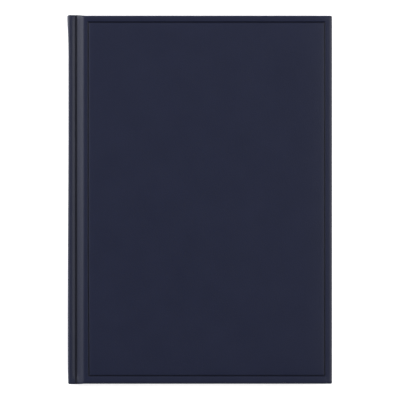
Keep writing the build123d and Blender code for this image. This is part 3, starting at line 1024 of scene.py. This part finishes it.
log_columns = [0.030, 0.046, 0.060, 0.078, 0.096, 0.107, 0.118, 0.129, 0.140, 0.151, 0.163, 0.176]
title_ruling = ruling("title_ruling", 0.022, 0.185, 0.045, 0.255)
details_ruling = ruling("details_ruling", 0.018, 0.189, 0.030, 0.268, [0.070])
log_ruling = ruling("log_ruling", 0.013, 0.1945, 0.016, 0.284, log_columns)
blank_page = printed_paper("blank_page")
title_page = printed_paper("title_page", title_ruling, 0.0525, 0.254)
details_page = printed_paper("details_page", details_ruling, 0.017, 0.251)
log_page = printed_paper("log_page", log_ruling, 0.0095, 0.2535)

leaf_faces = {
    "title_leaf": (title_page, blank_page),
    "holder_details_leaf": (details_page, blank_page),
    "log_leaf_1": (log_page, log_page),
    "log_leaf_2": (log_page, log_page),
}


def page_uv(piece):
    """UV of a page's faces: metres from the gutter and from the foot."""
    point_uv(piece, [(point.co.x - gutter_x, point.co.y - fly_low.y) for point in piece.data.vertices])


for number, (node, faces) in enumerate(leaf_faces.items()):
    low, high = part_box(node)
    leaf_path = [(x, (low.z + high.z) / 2) for x in gutter_places(high.x)]
    leaf = ribbon(f"{node}_sheet", leaf_path, high.z - low.z - skin_gap, leaf_rows, [*faces, blank_page])
    page_uv(leaf)
    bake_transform(leaf)
    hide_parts(node)

# ---------------------------------------------------------------- Signatures
# Twelve signatures make the block. Each is four sheets folded together and sewn through the fold, then the block
# is trimmed, so the leaves end almost, but never quite, in line.

chance = random.Random(1207)
signature_count, sheets_each = 12, 4
fold_bulge, fold_straight = 0.55 * mm, 3.5 * mm
trim_spread, squareness_spread = 0.09, 0.08 # in millimetres


def folded_sheet(name, back, edge, upper, lower, thickness, rows, materials):
    """One sheet, folded round at the back."""
    radius, middle = (upper - lower) / 2, (upper + lower) / 2
    bulge = min(radius, fold_bulge)
    turns = np.linspace(math.pi / 2, -math.pi / 2, 9)
    path = [(edge[0], upper), (0.0, upper), (back + fold_straight, upper)]
    path += [(back + bulge - bulge * math.cos(turn), middle + radius * math.sin(turn)) for turn in turns]
    path += [(back + fold_straight, lower), (0.0, lower), (edge[1], lower)]
    return ribbon(name, path, thickness, rows, materials)


def joined(name, pieces):
    """Several mesh objects made into one."""
    whole = bmesh.new()
    for piece in pieces:
        whole.from_mesh(piece.data)
    result = mesh_object(name, [], [], pieces[0].data.materials)
    whole.to_mesh(result.data)
    whole.free()
    for piece in pieces:
        bpy.data.objects.remove(piece)
    return result


for number in range(1, signature_count + 1):
    node = f"signature_{number:02d}"
    low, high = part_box(node)
    leaf_pitch = (high.z - low.z) / (2 * sheets_each)
    leaf_thick = leaf_pitch - 0.02 * mm
    sheets = []
    for inner in range(sheets_each):
        upper, lower = high.z - (inner + 0.5) * leaf_pitch, low.z + (inner + 0.5) * leaf_pitch
        trim = [high.x - chance.uniform(0.0, trim_spread) * mm for leaf in range(2)]
        foot_y = low.y + chance.uniform(0.0, squareness_spread) * mm
        head_y = high.y - chance.uniform(0.0, squareness_spread) * mm
        back = low.x + leaf_thick / 2 + inner * leaf_pitch
        faces = [log_page, log_page, blank_page]
        sheet = folded_sheet(f"{node}_{inner}", back, trim, upper, lower, leaf_thick, [foot_y, head_y], faces)
        page_uv(sheet)
        sheets.append(sheet)
    signature = joined(f"{node}_sheets", sheets)
    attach(signature, "text_block")
    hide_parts(node)

# ---------------------------------------------------------------- Headband and tailband
# A small striped bead across each end of the back hides the glue there. It is a cord wrapped in two colours of silk
# on a tape that is glued to the block.

wrap_count = 24
bead_radius = 0.8 * mm


def wraps_tree():
    """Round wraps side by side along a bead, added to the tape that comes in."""
    tree, start, end = group_of(
        "headband_wraps",
        [
            ("Geometry", "NodeSocketGeometry", None),
            ("Start", "NodeSocketVector", (0.0, 0.0, 0.0)),
            ("Wrap Pitch", "NodeSocketFloat", 0.5 * mm),
            ("Wraps", "NodeSocketInt", wrap_count),
            ("Bead Radius", "NodeSocketFloat", bead_radius),
            ("Finish", "NodeSocketMaterial", None),
        ],
        [("Geometry", "NodeSocketGeometry")],
        kind="GeometryNodeTree",
    )
    given = start.outputs
    step = add_node(tree, "ShaderNodeCombineXYZ", {"Z": given["Wrap Pitch"]}).outputs[0]
    places = {"Count": given["Wraps"], "Start Location": given["Start"], "Offset": step}
    line = add_node(tree, "GeometryNodeMeshLine", places).outputs["Mesh"]
    turn = maths(tree, "MODULO", add_node(tree, "GeometryNodeInputIndex").outputs[0], 2.0)
    stripe = {"Name": "stripe", "Geometry": line, "Value": turn}
    striped = add_node(tree, "GeometryNodeStoreNamedAttribute", stripe, data_type="FLOAT", domain="POINT")
    ball = {"Segments": 20, "Rings": 8, "Radius": given["Bead Radius"]}
    wrap = add_node(tree, "GeometryNodeMeshUVSphere", ball).outputs["Mesh"]
    narrow = maths(tree, "MULTIPLY", maths(tree, "DIVIDE", given["Wrap Pitch"], given["Bead Radius"]), 0.85)
    scale = add_node(tree, "ShaderNodeCombineXYZ", {"X": 1.0, "Y": 1.0, "Z": narrow}).outputs[0]
    flat = add_node(tree, "GeometryNodeTransform", {"Geometry": wrap, "Scale": scale}).outputs["Geometry"]
    beads = {"Points": striped.outputs["Geometry"], "Instance": flat}
    placed = add_node(tree, "GeometryNodeInstanceOnPoints", beads).outputs["Instances"]
    both = add_node(tree, "GeometryNodeJoinGeometry", {0: placed})
    tree.links.new(given["Geometry"], both.inputs[0])
    real = add_node(tree, "GeometryNodeRealizeInstances", {0: both.outputs[0]}).outputs[0]
    finish = add_node(tree, "GeometryNodeSetMaterial", {"Geometry": real, "Material": given["Finish"]})
    tree.links.new(finish.outputs[0], end.inputs[0])
    return tree


def band_material():
    """Silk wraps, white and navy by turns."""
    white, navy_silk, hollow = (0.74, 0.72, 0.66), (0.018, 0.024, 0.075), (0.05, 0.05, 0.06)
    material, shader = plain_material("headband_silk", white, 0.45)
    tree = material.node_tree
    strands = noise_node(tree, object_vector(tree), 6000.0)
    colour = mix_colours(tree, mask_attribute(tree, "stripe"), white, navy_silk)
    # Painted shade: darker between the strands
    shaded = mix_colours(tree, maths(tree, "MULTIPLY", strands, 0.35), colour, hollow)
    tree.links.new(shaded, shader.inputs["Base Color"])
    bump_into(tree, shader, strands, 0.5, 0.1 * mm)
    return material


wraps, silk = wraps_tree(), band_material()
for node in ("headband", "tailband"):
    low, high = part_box(node)
    bead_y, tape_y = (high.y - bead_radius, low.y) if node == "headband" else (low.y + bead_radius, high.y)
    tape_x = low.x + 0.1 * mm
    tape = [(tape_x, low.z), (tape_x, high.z)]
    band = ribbon(f"{node}_wrapped", tape, 0.16 * mm, sorted([bead_y, tape_y]), [silk])
    wrapping = band.modifiers.new("wraps", "NODES")
    wrapping.node_group = wraps
    pitch = (high.z - low.z) / (wrap_count + 0.7)
    values = {
        "Start": (high.x - bead_radius, bead_y, low.z + 0.85 * pitch),
        "Wrap Pitch": pitch,
        "Wraps": wrap_count,
        "Bead Radius": bead_radius,
        "Finish": silk,
    }
    for item in wraps.interface.items_tree:
        if item.in_out == "INPUT" and item.name in values:
            wrapping[item.identifier] = values[item.name]
    band = evaluated(band)
    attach(band, "text_block")
    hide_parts(node)

low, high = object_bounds()
